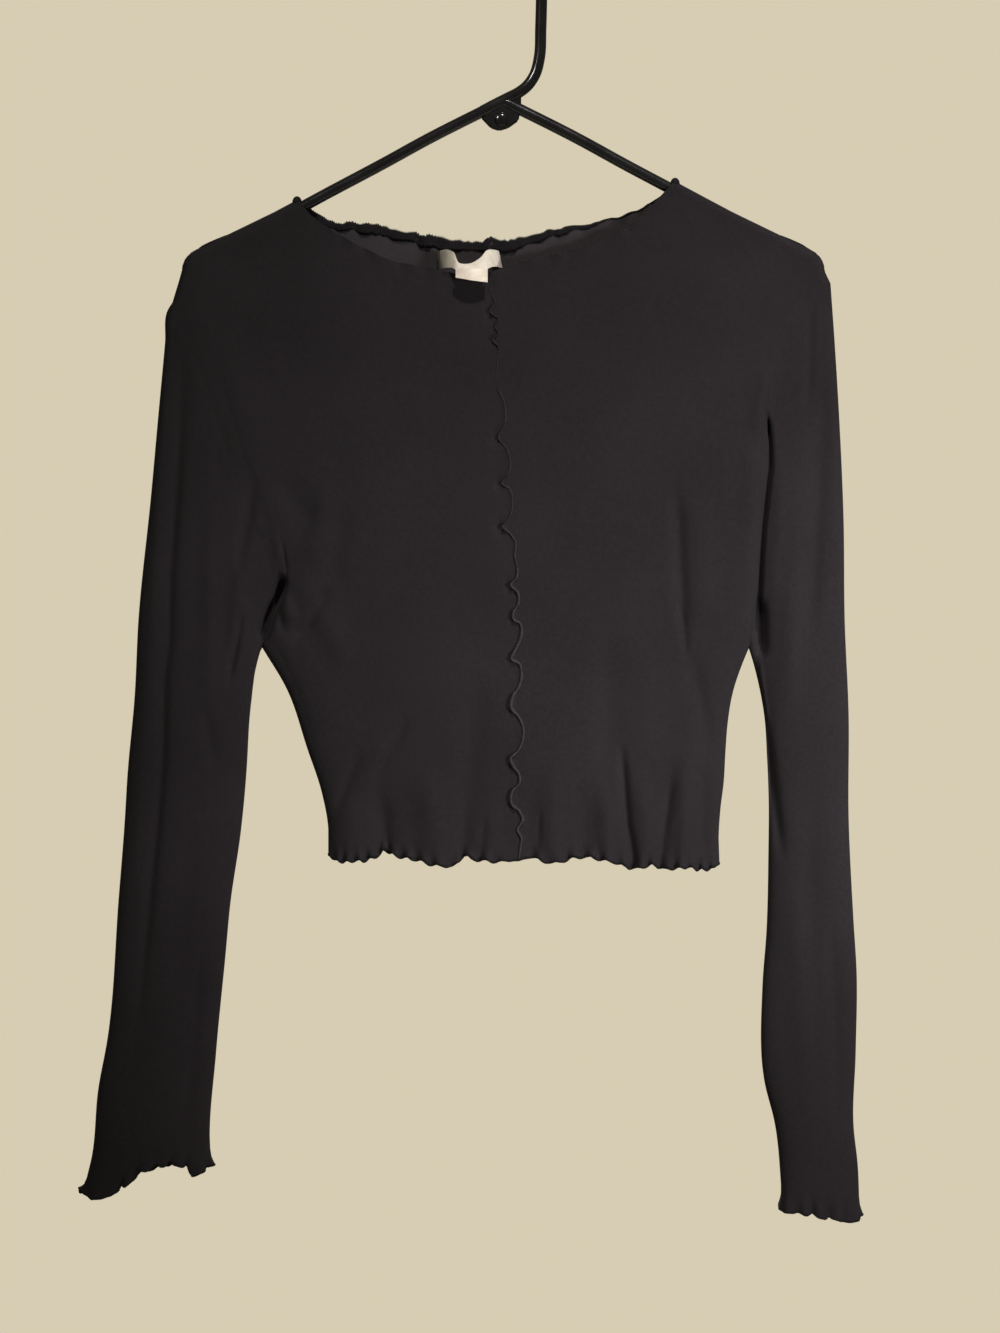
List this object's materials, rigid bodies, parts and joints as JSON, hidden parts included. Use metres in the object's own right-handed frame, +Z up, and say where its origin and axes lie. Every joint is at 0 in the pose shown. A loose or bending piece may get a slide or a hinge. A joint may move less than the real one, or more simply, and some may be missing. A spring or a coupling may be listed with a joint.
{
  "type": "long-sleeve crop top on a clothes hanger",
  "caption": "Long-sleeve crop top in thin black jersey with rippled edges and a ruffled centre seam, hung on a tubular plastic hanger.",
  "frame": {"origin": "the inside top of the hanger's hook, where it rests on a rail or peg", "axes": "+Z is up, the front of the garment faces -Y, and +X is to the right as seen from the front"},
  "size_m": [0.5206, 0.0395, 0.8432],
  "materials": {
    "jersey": "matt thin jersey",
    "satin": "woven satin tape",
    "hanger": "glossy black"
  },
  "bodies": {
    "root": {"front_left": "jersey", "front_right": "jersey", "back": "jersey", "sleeve_left": "jersey", "sleeve_right": "jersey", "front_seam_ruffle": "jersey", "neck_label": "satin", "neck_tab": "satin", "hanger": "hanger"}
  },
  "joints": []
}
